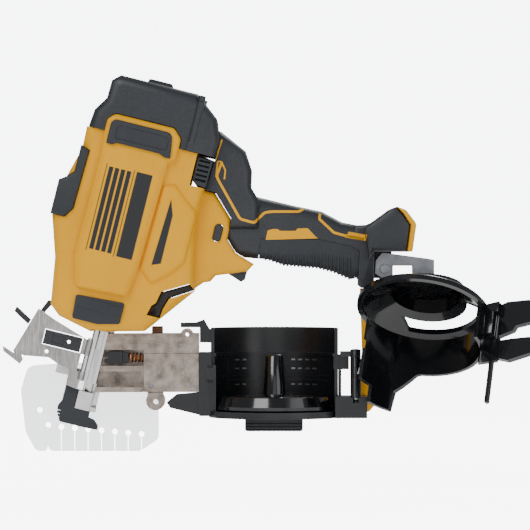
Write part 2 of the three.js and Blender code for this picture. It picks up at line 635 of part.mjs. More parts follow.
function drawFeedPawl() {
  const body = join(box(24, 36, -7.5, 3, 52, 63), box(35, 41, -5, 2, 53, 62));
  const fork = [53.2, 58.6].map((z) => box(20.8, 25, -7.5, 2, z, z + 3));
  return join(body, ...fork);
}

function drawDepthWheel() {
  const flutes = Array.from({ length: 12 }, (_, i) =>
    bar(0.7, [60, 5.6, 0], [70.5, 5.6, 0], 6).rotate([30 * i, 0, 0]).translate([0, 0, 78.6]));
  return cut(disc(5.5, 60.5, 69.7, 'x', [0, 0, 78.6], 24), ...flutes);
}

function drawShield() {
  const right = plate([[-20, 52], [-30, -13, 4], [-26, -22, 4], [50, -22, 10], [65.5, -12, 6], [65.5, 40, 6],
    [58, 54, 4]], 19.9, 21.9);
  const left = plate([[-19, 52], [-45, 50, 8], [-51, 30, 8], [-47, -6, 12], [-38, -22, 6], [-28, -22, 3],
    [-29.5, -10]], 19.9, 21.9);
  const holes = Array.from({ length: 7 }, (_, i) => [-16.8 + 11.3 * i, -1.7 - i]);
  const drilled = [...holes, [-27.7, 0], [-35, 12.6]].map(([x, z]) => bar(2.5, [x, 15, z], [x, 25, z], 12));
  const slits = holes.map(([x, z]) => box(x - 0.4, x + 0.4, 15, 25, -30, z));
  return cut(join(right, left), ...drilled, ...slits);
}

function drawCanister() {
  const { x, inner, outer, base, top } = CANISTER;
  const back = box(-400, 600, 0, 200, -100, 200);
  const wall = join(
    ring(inner, outer, base - 1, top, 'z', [x, 0, 0], ROUND),
    ring(inner - 1.5, inner + 1, 58.5, 61, 'z', [x, 0, 0], ROUND),
  ).intersect(back);
  const floor = disc(outer + 1.5, 7.5, base, 'z', [x, 0, 0], ROUND);
  const frontPost = cut(
    box(100.3, 116, -12, 16, 8.7, 62),
    box(107, 112, -20, -8, 49, 51.4), box(107, 112, -20, -8, 37, 39.4),
    disc(inner, base, 90, 'z', [x, 0, 0], ROUND),
    cut(ring(inner - 1, outer + 0.6, 51.4, 90, 'z', [x, 0, 0], ROUND), back),
  );
  const frontArm = plate([[73, 20], [81, 26.4], [100, 28.1], [104, 28.1], [104, 8.7], [76, 15.5]],
    NOSE_FRONT, 16);
  const topBracket = plate([[84.5, 82.8], [84.5, 86.8], [97, 86.8], [104, 89.4], [108.6, 81.5], [116, 79.4],
    [116, 70], [100.6, 70], [100.6, 82.8]], 1, 14);
  const hingeLugs = join(
    box(213, 226, 2, 12, 47.5, 60),
    box(218.5, 228, -16, 8, 58.4, 62.8),
    box(217, 219.6, 2.4, 5, 20, 50),
    cut(box(214, 240.6, -26, 10, 7.5, 25.6), cut(disc(outer + 0.8, 0, 90, 'z', [x, 0, 0], ROUND), back),
      disc(inner, 0, 90, 'z', [x, 0, 0], ROUND)),
  );
  const knuckles = join(knuckleAt(24, 39.6), knuckleAt(58, 64));
  const passage = box(96, 122, -7, 3.2, 29, 58);
  return cut(
    join(wall, floor, frontPost, frontArm, cut(topBracket, disc(inner, 0, 90, 'z', [x, 0, 0], ROUND)),
      hingeLugs, knuckles),
    passage,
    hingeBar(2.5, 20, 70),
    bar(2.6, [64, -20, 22], [64, 20, 22], 12),
  );
}

function alongHinge(z) {
  return COVER_HINGE.clone().addScaledVector(COVER_AXIS, (z - COVER_HINGE.z) / COVER_AXIS.z).toArray();
}
const hingeBar = (radius, z0, z1) => bar(radius, alongHinge(z0), alongHinge(z1), 16);
const knuckleAt = (z0, z1) => hingeBar(4.5, z0, z1);

function drawPlatform() {
  const { x, inner } = CANISTER;
  const plateau = turned([
    [0, 14], [inner - 1.2, 14], [inner - 1.2, 17], [inner - 4, 25], [inner - 7, 26], [9.6, 26.4], [7.6, 58],
    [6, 60], [0, 60],
  ], 'z', [x, 0, 0], ROUND);
  return plateau;
}

function drawCanisterFoot() {
  const ridges = [1, 3.6, 6.2].map((z) => box(130, 200, -25, -22.4, z - 3.4, z - 2.4));
  return cut(plate([[138.7, 7.2], [187, 7.2], [187, -3.4, 2], [138.7, -3.4, 2]], -24, 24), ...ridges);
}

// The cover as it closes over the coil: near half wall, coned top with a sloped cup, prongs at its free end.
function drawClosedCover() {
  const { x, inner, outer, base } = CANISTER;
  const near = box(-400, 600, -200, -0.6, -100, 400);
  const wall = cut(
    ring(inner, outer, base + 0.4, 84, 'z', [x, 0, 0], ROUND).intersect(near),
    plate([[203.5, 0], [201, 32, 4], [187, 52, 6], [90, 52], [90, 0]], -100, 0),
    box(214.5, 230, -60, 0, 0, 26.4), box(214.5, 230, -60, 0, 57, 66),
    box(200, 230, -15, 0, 0, 28.5),
  );
  const cone = turned([
    [28.5, 98.4], [28.5, 101.4], [31, 101.6], [outer, 88.6], [outer + 1.5, 87], [outer + 1.5, 82.8],
    [inner, 82.8], [inner, 85.5], [28.5, 98.4],
  ], 'z', [x, 0, 0], ROUND);
  const above = (drop) => box(-100, 100, -100, 100, 0, 100)
    .rotate([-CUP_SLOPE, 0, 0]).translate([x, 0, CUP_MIDDLE - drop]);
  const cup = cut(
    cut(disc(31, 98.6, 130, 'z', [x, 0, 0], ROUND), above(0)),
    cut(disc(28.5, 90, 130, 'z', [x, 0, 0], ROUND), above(2.4)),
  );
  const roof = join(cone, cup);
  const slot = cut(
    ring(35.5, 46, 70, 120, 'z', [x, 0, 0], ROUND),
    box(-400, 600, -14, 200, 0, 200),
    box(x + 31, 600, -200, 200, 0, 200),
  );
  const flange = join(
    box(101, 112.4, -25, -21.5, 40, 92),
    box(104.4, 107.4, -25, -21, 2, 42),
    plate([[102, 92], [96, 94], [76, 93], [68, 86], [70, 72], [86, 70], [88, 66], [102, 62]], -25, -20),
    plate([[102, 58], [86, 58], [72, 57.4], [69, 52], [70, 42], [90, 38], [102, 42]], -25, -20),
    plate([[101, 92], [101, 82.8], [120, 82.8], [120, 90]], -25, -14),
  );
  const web = cut(box(104, 124, -25, -14, 40, 84), disc(inner + 0.01, 0, 120, 'z', [x, 0, 0], ROUND),
    box(90, 104.6, -19.6, 0, 0, 100), box(90, 116.4, -21.5, 0, 0, 63));
  const leaf = join(
    cut(box(208, 229, -21.5, -16, 42.2, 56), disc(inner, 0, 120, 'z', [x, 0, 0], ROUND)),
    knuckleAt(40, 57.6),
  );
  return cut(join(wall, cut(roof, slot), flange, web, leaf), hingeBar(2.5, 20, 70));
}

function magazineUnit() {
  return group(
    mesh('feed_block', drawFeedBlock(), CAST),
    mesh('feed_cover_plate', cut(box(54, 99.8, NOSE_FRONT, NOSE_FRONT + 1.7, 29, 61),
      bar(1.9, [60, -20, 34], [60, 0, 34], 12), bar(1.9, [94, -20, 34], [94, 0, 34], 12)), CAST),
    mesh('feed_pawl', drawFeedPawl(), SATIN_BLACK),
    mesh('feed_spring', spring([41.4, -1.2, 57.6], 15, 5, 3.8, 0.6), COPPER),
    mesh('depth_wheel', drawDepthWheel(), BRONZE),
    mesh('debris_shield', drawShield(), CLEAR),
    mesh('canister_body', drawCanister(), SATIN_BLACK),
    mesh('canister_foot', drawCanisterFoot(), RUBBER),
    mesh('nail_platform', drawPlatform(), GLOSS_BLACK),
    mesh('cover_hinge_pin', hingeBar(2.1, 23, 63.6), CHROME),
  );
}

// The cover hangs in a turned group on its leaning hinge, swung to its open stop.
function coverUnit() {
  const hinge = group(mesh('canister_cover', drawClosedCover(), GLOSS_BLACK));
  hinge.children[0].position.copy(COVER_HINGE).negate();
  hinge.rotateOnAxis(COVER_AXIS, COVER_OPEN);
  hinge.position.copy(COVER_HINGE);
  return hinge;
}

// ---- the nailer, its origin at the centre of the grip --------------------------------------------------

const leaning = driveUnit();
leaning.rotation.y = TILT;
const nailer = group(leaning, handleUnit(), magazineUnit(), coverUnit());
nailer.position.copy(GRIP_CENTRE).negate();

export default nailer;
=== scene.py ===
# %% [markdown]
# # A cordless coil roofing nailer, dressed
# The working model of the tool arrives as a fixed frame: every casing, pin and blade where it belongs.
# This lesson gives each of them its finish, and builds the pieces whose look needs finer surfaces than
# the frame has. Everything is in metres, with the origin at the centre of the grip, X to the back of the
# handle, Y to the tool's right side and Z up.

# %% Load the frame
import json
import math

import bmesh
import bpy
import numpy as np
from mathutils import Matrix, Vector
from mathutils.bvhtree import BVHTree


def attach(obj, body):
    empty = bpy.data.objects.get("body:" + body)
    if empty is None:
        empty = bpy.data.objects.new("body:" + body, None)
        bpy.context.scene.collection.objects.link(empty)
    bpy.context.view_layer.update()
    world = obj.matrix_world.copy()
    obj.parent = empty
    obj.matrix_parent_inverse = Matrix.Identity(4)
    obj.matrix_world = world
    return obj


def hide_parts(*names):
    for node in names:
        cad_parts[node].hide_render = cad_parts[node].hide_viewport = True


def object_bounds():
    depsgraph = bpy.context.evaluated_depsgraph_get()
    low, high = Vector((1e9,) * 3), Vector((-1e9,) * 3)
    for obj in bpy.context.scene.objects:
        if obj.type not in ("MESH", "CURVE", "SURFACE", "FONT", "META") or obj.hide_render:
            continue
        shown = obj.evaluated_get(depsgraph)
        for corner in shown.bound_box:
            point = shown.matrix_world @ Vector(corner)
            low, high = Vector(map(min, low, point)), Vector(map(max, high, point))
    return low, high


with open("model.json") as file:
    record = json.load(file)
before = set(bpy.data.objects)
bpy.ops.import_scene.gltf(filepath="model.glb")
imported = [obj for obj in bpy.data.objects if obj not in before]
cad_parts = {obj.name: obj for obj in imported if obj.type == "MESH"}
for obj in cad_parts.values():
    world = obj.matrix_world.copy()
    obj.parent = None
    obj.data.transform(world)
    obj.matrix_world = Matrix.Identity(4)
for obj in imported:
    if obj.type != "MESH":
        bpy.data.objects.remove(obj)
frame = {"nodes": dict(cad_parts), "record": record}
cad_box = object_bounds()
nodes = frame["nodes"]
print("nodes in the frame:", len(nodes))

# %% [markdown]
# ## Two rulers
# The handle and magazine stand level, but the drive unit leans back by 14 degrees. Its pieces are easiest
# to describe along its own axis, so one ruler measures level places and the other measures places along
# the leaning unit. Both start at the nose tip and count in millimetres, as a maker's drawing does.

# %% Rulers from the nose tip
MM = 0.001
LEAN = math.radians(14)
NOSE_TIP = np.array([-195.0, 0.0, -158.0])


def level(x, y, z):
    """The place x, y, z in millimetres from the nose tip, in metres from the grip's centre."""
    place = np.stack(np.broadcast_arrays(x, y, z), axis=-1).astype(float)
    return (place + NOSE_TIP) * MM


def leaning(u, y, w):
    """The level place of u across and w along the drive axis: both are turned by the lean about Y."""
    u, y, w = (np.asarray(v, dtype=float) for v in (u, y, w))
    x = u * math.cos(LEAN) + w * math.sin(LEAN)
    z = -u * math.sin(LEAN) + w * math.cos(LEAN)
    return level(x, y, z)


# %% [markdown]
# ## Effects that many finishes share
# Moulded plastic is never one flat colour: it has a fine spark-eroded grain, its edges are rubbed paler,
# and dust settles in patches. Each effect could be typed into every material, but a node group is built
# once and placed wherever it is needed, with its own amounts.


# %% A group's sockets and links
def new_group(name, inputs, outputs):
    """An empty shader group. Inputs are (name, float or colour); outputs are (name, socket type)."""
    group = bpy.data.node_groups.new(name, "ShaderNodeTree")
    for label, default in inputs:
        kind = "NodeSocketColor" if isinstance(default, tuple) else "NodeSocketFloat"
        socket = group.interface.new_socket(label, in_out="INPUT", socket_type=kind)
        socket.default_value = default
    for label, kind in outputs:
        group.interface.new_socket(label, in_out="OUTPUT", socket_type=kind)
    return group, group.nodes.new("NodeGroupInput"), group.nodes.new("NodeGroupOutput")


def noise(tree, scale, detail=4.0, roughness=0.55, slanted=False):
    """A noise texture read in object coordinates. Slanted draws it out into long leaning streaks."""
    where = tree.nodes.new("ShaderNodeTexCoord")
    texture = tree.nodes.new("ShaderNodeTexNoise")
    texture.inputs["Scale"].default_value = scale
    texture.inputs["Detail"].default_value = detail
    texture.inputs["Roughness"].default_value = roughness
    place = where.outputs["Object"]
    if slanted:
        turn = tree.nodes.new("ShaderNodeMapping")
        turn.inputs["Rotation"].default_value = (0.0, 0.9, 0.0)
        turn.inputs["Scale"].default_value = (1.0, 1.0, 0.03)
        tree.links.new(place, turn.inputs["Vector"])
        place = turn.outputs["Vector"]
    tree.links.new(place, texture.inputs["Vector"])
    return texture


def remap(tree, source, low, high, to_low, to_high):
    """Values from low to high become values from to_low to to_high, held at both ends."""
    node = tree.nodes.new("ShaderNodeMapRange")
    for label, value in zip(("From Min", "From Max", "To Min", "To Max"), (low, high, to_low, to_high)):
        node.inputs[label].default_value = value
    tree.links.new(source, node.inputs["Value"])
    return node.outputs["Result"]


def times(tree, a, b):
    """The product of two values, where b may be a socket or a number."""
    node = tree.nodes.new("ShaderNodeMath")
    node.operation = "MULTIPLY"
    tree.links.new(a, node.inputs[0])
    if isinstance(b, (int, float)):
        node.inputs[1].default_value = b
    else:
        tree.links.new(b, node.inputs[1])
    return node.outputs[0]


def mixed(tree, factor, a, b):
    """The colour a where the factor is 0 and b where it is 1. Each may be a socket or a colour."""
    node = tree.nodes.new("ShaderNodeMix")
    node.data_type = "RGBA"
    tree.links.new(factor, node.inputs["Factor"])
    for value, socket in ((a, node.inputs[6]), (b, node.inputs[7])):
        if isinstance(value, tuple):
            socket.default_value = value
        else:
            tree.links.new(value, socket)
    return node.outputs[2]


# %% [markdown]
# ### Rubbed edges
# A Bevel node would round the normals, and its difference from the true normal marks an edge. Pointiness
# is cheaper, but it needs dense meshes, and the frame's faces are large. So the bevelled normal is used.


# %% Edge wear group
def edge_wear_group():
    """The mask is 1 minus the dot product of the true and the rounded normal, broken up by noise."""
    group, given, out = new_group(
        "edge_wear", [("Width", 0.0012), ("Amount", 1.0)], [("Mask", "NodeSocketFloat")])
    bevel = group.nodes.new("ShaderNodeBevel")
    bevel.samples = 4
    group.links.new(given.outputs["Width"], bevel.inputs["Radius"])
    geometry = group.nodes.new("ShaderNodeNewGeometry")
    dot = group.nodes.new("ShaderNodeVectorMath")
    dot.operation = "DOT_PRODUCT"
    group.links.new(bevel.outputs["Normal"], dot.inputs[0])
    group.links.new(geometry.outputs["Normal"], dot.inputs[1])
    edge = remap(group, dot.outputs["Value"], 0.99, 0.86, 0.0, 1.0)
    patches = remap(group, noise(group, 160.0).outputs["Fac"], 0.42, 0.62, 0.15, 1.0)
    group.links.new(times(group, times(group, edge, patches), given.outputs["Amount"]), out.inputs["Mask"])
    return group


# %% Grain group
def grain_group():
    """A fine noise for the moulded texture, its height for a bump, and broad patches for dust."""
    group, given, out = new_group(
        "moulded_grain", [("Fine", 1800.0), ("Broad", 22.0)],
        [("Height", "NodeSocketFloat"), ("Patches", "NodeSocketFloat")])
    fine = noise(group, 1800.0, detail=2.0)
    group.links.new(given.outputs["Fine"], fine.inputs["Scale"])
    broad = noise(group, 22.0, detail=5.0)
    group.links.new(given.outputs["Broad"], broad.inputs["Scale"])
    group.links.new(fine.outputs["Fac"], out.inputs["Height"])
    group.links.new(remap(group, broad.outputs["Fac"], 0.35, 0.7, 0.0, 1.0), out.inputs["Patches"])
    return group


EDGE_WEAR = edge_wear_group()
GRAIN = grain_group()


# %% [markdown]
# ## The finishes
# Every finish is one Principled shader. What differs is the colour and how it wanders, how rough it is,
# and what relief it has. The helper below joins the shared groups to the shader, so that each finish is
# only a few honest numbers.


# %% One finish
def place_group(tree, group, **values):
    """Places a shared group in a material, with this material's own amounts."""
    node = tree.nodes.new("ShaderNodeGroup")
    node.node_tree = group
    for label, value in values.items():
        node.inputs[label].default_value = value
    return node


def finish(name, colour, rough, metal=0.0, worn=None, wear=0.6, shade=0.82, fine=1800.0, relief=0.06,
           spread=0.08, coat=0.0, broad=22.0, speckle=0.0, brushed=0.0, gloss=0.5):
    """A finish whose colour drifts to a darker shade in patches and to the worn colour along edges.

    Speckle mixes the worn colour into the grain's peaks. Brushed does so along slanted scratches.
    """
    material = bpy.data.materials.new(name)
    material.use_nodes = True
    tree = material.node_tree
    shader = tree.nodes["Principled BSDF"]
    grain = place_group(tree, GRAIN, Fine=fine, Broad=broad)
    base = (*colour, 1.0)
    darker = (*(c * shade for c in colour), 1.0)
    surface = mixed(tree, grain.outputs["Patches"], base, darker)
    if worn:
        edges = place_group(tree, EDGE_WEAR, Amount=wear)
        surface = mixed(tree, edges.outputs["Mask"], surface, (*worn, 1.0))
    if speckle:
        peaks = remap(tree, grain.outputs["Height"], 0.56, 0.68, 0.0, speckle)
        surface = mixed(tree, peaks, surface, (*worn, 1.0))
    if brushed:
        streaks = noise(tree, 2200.0, detail=3.0, slanted=True)
        scratches = remap(tree, streaks.outputs["Fac"], 0.5, 0.68, 0.0, brushed)
        surface = mixed(tree, scratches, surface, (*worn, 1.0))
    tree.links.new(surface, shader.inputs["Base Color"])
    tree.links.new(remap(tree, grain.outputs["Patches"], 0.0, 1.0, rough - spread / 2, rough + spread / 2),
                   shader.inputs["Roughness"])
    bump = tree.nodes.new("ShaderNodeBump")
    bump.inputs["Strength"].default_value = relief
    bump.inputs["Distance"].default_value = 0.0004
    tree.links.new(grain.outputs["Height"], bump.inputs["Height"])
    tree.links.new(bump.outputs["Normal"], shader.inputs["Normal"])
    shader.inputs["Metallic"].default_value = metal
    shader.inputs["Coat Weight"].default_value = coat
    shader.inputs["Specular IOR Level"].default_value = gloss
    return material


FINISHES = {
    "yellow_plastic": finish("yellow_moulding", (0.85, 0.4, 0.0002), 0.42, worn=(0.9, 0.5, 0.01),
                             wear=0.35, shade=0.92, relief=0.05, gloss=0.22),
    "black_plastic": finish("black_moulding", (0.018, 0.021, 0.026), 0.46, worn=(0.08, 0.085, 0.095),
                            relief=0.14, fine=1500.0, speckle=0.3),
    "rubber": finish("black_rubber", (0.021, 0.025, 0.03), 0.62, worn=(0.06, 0.065, 0.072), wear=0.4,
                     relief=0.16, fine=1100.0),
    "satin_black": finish("satin_black_moulding", (0.008, 0.009, 0.011), 0.32, worn=(0.05, 0.052, 0.056),
                          relief=0.05),
    "gloss_black": finish("gloss_black_moulding", (0.0035, 0.004, 0.005), 0.14, worn=(0.05, 0.05, 0.055),
                          wear=0.3, relief=0.015, coat=0.4),
    "cast_metal": finish("mottled_casting", (0.44, 0.37, 0.315), 0.42, metal=0.85, worn=(0.66, 0.6, 0.54),
                         shade=0.42, relief=0.24, fine=420.0, broad=105.0, spread=0.22, speckle=0.35),
    "brushed_steel": finish("brushed_steel_sheet", (0.4, 0.388, 0.365), 0.34, metal=0.95,
                            worn=(0.82, 0.8, 0.77), shade=0.72, relief=0.08, fine=700.0, broad=60.0,
                            brushed=0.7),
    "chrome": finish("polished_steel", (0.72, 0.71, 0.7), 0.17, metal=1.0, shade=0.86, relief=0.02,
                     broad=50.0),
    "zinc": finish("zinc_plate", (0.3, 0.31, 0.33), 0.33, metal=0.92, worn=(0.6, 0.61, 0.62), shade=0.75,
                   relief=0.07, fine=500.0, broad=90.0),
    "copper": finish("copper_wire", (0.62, 0.25, 0.1), 0.3, metal=0.95, shade=0.75, relief=0.03),
    "bronze": finish("brown_anodised", (0.16, 0.09, 0.055), 0.42, metal=0.6, worn=(0.4, 0.28, 0.2),
                     relief=0.08),
    "board": finish("circuit_board", (0.015, 0.13, 0.05), 0.4, shade=0.7, relief=0.05),
}
print("finishes:", len(FINISHES))


# %% [markdown]
# ### The clear guard
# Polycarbonate sheet is clear, with a faint blue where it is seen edge on. Full glass would need many
# light bounces, so most of the clearness is alpha here, and the edges are bluer by a Fresnel mask.


# %% Clear finish
def clear_finish():
    """Pale blue, mostly see-through, and less so at grazing angles."""
    material = bpy.data.materials.new("clear_polycarbonate")
    material.use_nodes = True
    tree = material.node_tree
    shader = tree.nodes["Principled BSDF"]
    grain = place_group(tree, GRAIN, Fine=900.0, Broad=30.0)
    surface = mixed(tree, grain.outputs["Patches"], (0.56, 0.65, 0.72, 1.0), (0.49, 0.59, 0.68, 1.0))
    tree.links.new(surface, shader.inputs["Base Color"])
    fresnel = tree.nodes.new("ShaderNodeFresnel")
    fresnel.inputs["IOR"].default_value = 1.5
    tree.links.new(remap(tree, fresnel.outputs["Fac"], 0.0, 0.6, 0.42, 0.95), shader.inputs["Alpha"])
    tree.links.new(remap(tree, grain.outputs["Patches"], 0.0, 1.0, 0.05, 0.14), shader.inputs["Roughness"])
    return material


FINISHES["clear_guard"] = clear_finish()

# %% [markdown]
# ## Dressing the working parts
# A moulding never has a knife edge: the mould leaves a small radius, and that radius catches the light.
# The frame's meshes are facets with sharp edges, so each shown node is copied, its doubled corners are
# merged, and a live Bevel rounds what is sharper than the limit. Smooth shading then hides the facets of
# the round parts. The hidden works keep their own meshes and only take a finish.

# %% Which body and which finish a node has
record = frame["record"]
body_of_node = {node: body for body, members in record["behaviour"]["bodies"].items() for node in members}
slot_of_node = {part["node"]: part["material_slot"] for part in record["subparts"]}
INSIDE = {
    "guide_rod_left", "guide_rod_right", "end_bumper", "drive_frame", "flywheel", "motor_stator",
    "motor_shaft", "flywheel_bearing", "pinch_roller", "solenoid", "solenoid_plunger", "control_board",
    "trigger_switch", "feed_spring",
}
ROUNDED = {
    "housing_left": 1.0, "housing_right": 1.0, "motor_cap": 1.1, "handle_left": 1.2, "handle_right": 1.2,
    "top_bumper_left": 0.8, "top_bumper_right": 0.8, "lower_bumper_left": 0.8, "lower_bumper_right": 0.8,
    "front_guard_left": 0.9, "front_guard_right": 0.9, "lower_guard": 0.9, "trigger": 0.8,
    "canister_cover": 0.6, "canister_body": 0.5, "canister_foot": 0.7, "no_mar_tip": 0.7, "foot_rim": 0.8,
    "magazine_bracket": 0.8, "debris_shield": 0.25, "feed_cover_plate": 0.25, "trigger_lock": 0.6,
}
USUAL_ROUNDING = 0.35


# %% A rounded copy of a node
def shown_mesh(node):
    """The node's mesh with doubled corners merged and flat areas joined, shaded smooth below 32 degrees."""
    mesh = nodes[node].data.copy()
    mesh.name = f"{node}_surface"
    work = bmesh.new()
    work.from_mesh(mesh)
    bmesh.ops.remove_doubles(work, verts=work.verts, dist=2e-6)
    bmesh.ops.dissolve_limit(work, angle_limit=math.radians(0.4), verts=work.verts, edges=work.edges)
    work.to_mesh(mesh)
    work.free()
    mesh.shade_smooth()
    mesh.set_sharp_from_angle(angle=math.radians(32))
    return mesh


def dress(node):
    """Replaces a node by its rounded copy, riding on the same body, in the finish of its slot."""
    piece = bpy.data.objects.new(f"{node}_shown", shown_mesh(node))
    bpy.context.scene.collection.objects.link(piece)
    bevel = piece.modifiers.new("mould_radius", "BEVEL")
    bevel.width = ROUNDED.get(node, USUAL_ROUNDING) * MM
    bevel.segments = 3
    bevel.limit_method = "ANGLE"
    bevel.angle_limit = math.radians(38)
    bevel.miter_outer = "MITER_ARC"
    piece.data.materials.clear()
    piece.data.materials.append(FINISHES[slot_of_node[node]])
    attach(piece, body_of_node[node])
    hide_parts(node)
    return piece


for node in nodes:
    if node in INSIDE:
        nodes[node].data.materials.clear()
        nodes[node].data.materials.append(FINISHES[slot_of_node[node]])
    else:
        dress(node)
print("rounded copies:", len(nodes) - len(INSIDE))

# %% [markdown]
# ## Pieces laid on a curved side
# The handle's yellow lines are a second shot of plastic, flush in a groove that follows the curved side.
# They could be drawn in a texture, but a real raised band catches the light. A band is worked out between
# a lower and an upper edge: each point is dropped onto the surface below it, and raised a little.

# %% The surface under a point
def tree_of(*names):
    """One search tree over the triangles of several nodes."""
    corners, faces = [], []
    for name in names:
        mesh = nodes[name].data
        start = len(corners)
        corners += [vertex.co.copy() for vertex in mesh.vertices]
        faces += [tuple(start + i for i in polygon.vertices) for polygon in mesh.polygons]
    return BVHTree.FromPolygons(corners, faces)


def dropped(tree, places, side):
    """Each place moved along Y onto the outermost surface on that side (-1 left, 1 right)."""
    result = places.copy()
    for place in result.reshape(-1, 3):
        hit = tree.ray_cast(Vector((place[0], side * 0.2, place[2])), Vector((0, -side, 0)))[0]
        if hit is not None:
            place[1] = hit.y
    return result


def resampled(points, count):
    """A polyline's points spaced evenly by length."""
    points = np.asarray(points, dtype=float)
    lengths = np.r_[0, np.cumsum(np.linalg.norm(np.diff(points, axis=0), axis=1))]
    wanted = np.linspace(0, lengths[-1], count)
    return np.stack([np.interp(wanted, lengths, points[:, axis]) for axis in range(points.shape[1])], axis=1)


# %% A closed mesh from a top and a bottom grid
def grid_solid(name, top, bottom, flip=False):
    """Quads over both grids and round their shared border. Grids are rows x columns x 3, in metres."""
    rows, columns = top.shape[:2]
    index = np.arange(rows * columns).reshape(rows, columns)
    under = index + rows * columns
    quads = np.stack([index[:-1, :-1], index[:-1, 1:], index[1:, 1:], index[1:, :-1]], axis=-1).reshape(-1, 4)
    lower = quads[:, ::-1] + rows * columns
    border = np.r_[index[0, :], index[1:, -1], index[-1, -2::-1], index[-2:0:-1, 0]]
    border_under = np.r_[under[0, :], under[1:, -1], under[-1, -2::-1], under[-2:0:-1, 0]]
    walls = np.stack([np.roll(border, -1), border, border_under, np.roll(border_under, -1)], axis=-1)
    faces = np.concatenate([quads, lower, walls])
    if flip:
        faces = faces[:, ::-1]
    mesh = bpy.data.meshes.new(name)
    mesh.from_pydata(np.concatenate([top.reshape(-1, 3), bottom.reshape(-1, 3)]).tolist(), [], faces.tolist())
    work = bmesh.new()
    work.from_mesh(mesh)
    bmesh.ops.recalc_face_normals(work, faces=work.faces)
    work.to_mesh(mesh)
    work.free()
    mesh.shade_smooth()
    mesh.set_sharp_from_angle(angle=math.radians(40))
    piece = bpy.data.objects.new(name, mesh)
    bpy.context.scene.collection.objects.link(piece)
    return piece


def inlay(name, low, high, tree, side, slot, body="frame", raised=0.5, sunk=0.8, columns=48, rows=5,
          straight=False):
    """A band between a low and a high edge, both [x, z] in level millimetres, laid on one side.

    A straight one keeps each row at that row's outermost point, so it bridges steps in the surface.
    """
    low, high = resampled(low, columns), resampled(high, columns)
    share = np.linspace(0, 1, rows)[:, None, None]
    flat = low[None] * (1 - share) + high[None] * share
    resting = dropped(tree, level(flat[..., 0], 0.0, flat[..., 1]), side)
    if straight:
        resting[..., 1] = side * np.abs(resting[..., 1]).max(axis=1, keepdims=True)
    top, bottom = resting.copy(), resting.copy()
    top[..., 1] += side * raised * MM
    bottom[..., 1] -= side * sunk * MM
    piece = grid_solid(name, top, bottom)
    piece.data.materials.append(FINISHES[slot])
    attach(piece, body)
    return piece


def band(path, width):
    """The two edges of a band of even width along a path, from the path's own sideways direction."""
    path = resampled(path, 60)
    ahead = np.gradient(path, axis=0)
    ahead /= np.linalg.norm(ahead, axis=1, keepdims=True)
    aside = np.stack([-ahead[:, 1], ahead[:, 0]], axis=1) * width / 2
    return path - aside, path + aside


# %% The handle's yellow lines, on both sides
FRONT_LINE = [(119.5, 221), (115, 209), (118.7, 202), (134.6, 173.5), (146.5, 170.3), (155, 179),
              (161.6, 179.8), (184, 179.8), (187.4, 182)]
REAR_LINE = [(201.3, 178), (200.8, 173.5), (213, 162.2), (222, 159.8), (238, 156.8)]
PLATE_LOW = [(156, 156.2), (200, 157.4)]
PLATE_HIGH = [(157.6, 164), (161.6, 165.2), (166, 165.2), (168, 163.7), (181.4, 163.7), (182.2, 165.6),
              (191, 166), (198, 158.6)]
HUMP_LINES = {
    "cap_line": [(99.5, 227.4), (113.6, 221.4), (119.6, 239.5)],
    "slot_line": [(114.6, 208.5), (116, 221.2), (119, 221.4), (122.4, 214), (121.6, 206.5)],
}
handle_tree = tree_of("handle_left", "handle_right", "grip_sleeve")
hump_tree = tree_of("handle_left", "handle_right", "housing_left", "housing_right", "motor_cap")
for side, hand in ((-1, "left"), (1, "right")):
    for name, path in (("front_line", FRONT_LINE), ("rear_line", REAR_LINE)):
        inlay(f"handle_{name}_{hand}", *band(path, 2.1), handle_tree, side, "yellow_plastic")
    for name, path in HUMP_LINES.items():
        inlay(f"hump_{name}_{hand}", *band(path, 1.3), hump_tree, side, "yellow_plastic", raised=0.35)
    inlay(f"handle_plate_{hand}", PLATE_LOW, PLATE_HIGH, handle_tree, side, "yellow_plastic", sunk=2.0,
          straight=True)
    inlay(f"rear_line_end_{hand}", [(222, 158.2), (239.4, 155.4)], [(225.5, 163), (240.3, 160.3)],
          handle_tree, side, "yellow_plastic")

# %% [markdown]
# ## The ribs of the grip
# The rubber sleeve carries about two dozen ribs that wrap the underside. Each rib is a low half-round that
# runs round the sleeve, so it is a profile carried along a path found on the sleeve itself: rays are sent
# in towards the grip's middle line, and where they land is where the rib sits.


# %% Ribs round the underside
def rib(number, x, tree):
    """A half-ellipse 2.0 wide and 1.35 high carried round the sleeve, tapering into it at both ends."""
    middle = Vector(level(x, 0.0, 146.5 - 0.17 * max(x - 205, 0)))
    angles = np.radians(np.linspace(-182, 2, 34))
    outward = np.stack([np.zeros_like(angles), np.cos(angles), np.sin(angles)], axis=1)
    path = []
    for way in outward:
        hit = tree.ray_cast(middle + Vector(way) * 0.06, Vector(-way))[0]
        path.append(hit if hit is not None else middle + Vector(way) * 0.018)
    path = np.array(path)
    taper = np.clip(np.minimum(np.arange(34), np.arange(34)[::-1]) / 3.0, 0.0, 1.0)[:, None]
    across = np.linspace(-1, 1, 7)[None, :]
    height = np.sqrt(np.clip(1 - across ** 2, 0, 1)) * 1.35 * taper - 0.2
    top = path[:, None, :] + outward[:, None, :] * height[..., None] * MM
    bottom = path[:, None, :] - outward[:, None, :] * 1.0 * MM + 0 * top
    for grid in (top, bottom):
        grid[..., 0] += across * 1.0 * MM
    piece = grid_solid(f"grip_rib_{number:02d}", top, bottom)
    piece.data.materials.append(FINISHES["rubber"])
    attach(piece, "frame")
    return piece


sleeve_tree = tree_of("grip_sleeve")
rib_places = np.arange(156.0, 228.0, 3.05)
for number, x in enumerate(rib_places):
    rib(number, x, sleeve_tree)
print("ribs:", len(rib_places))

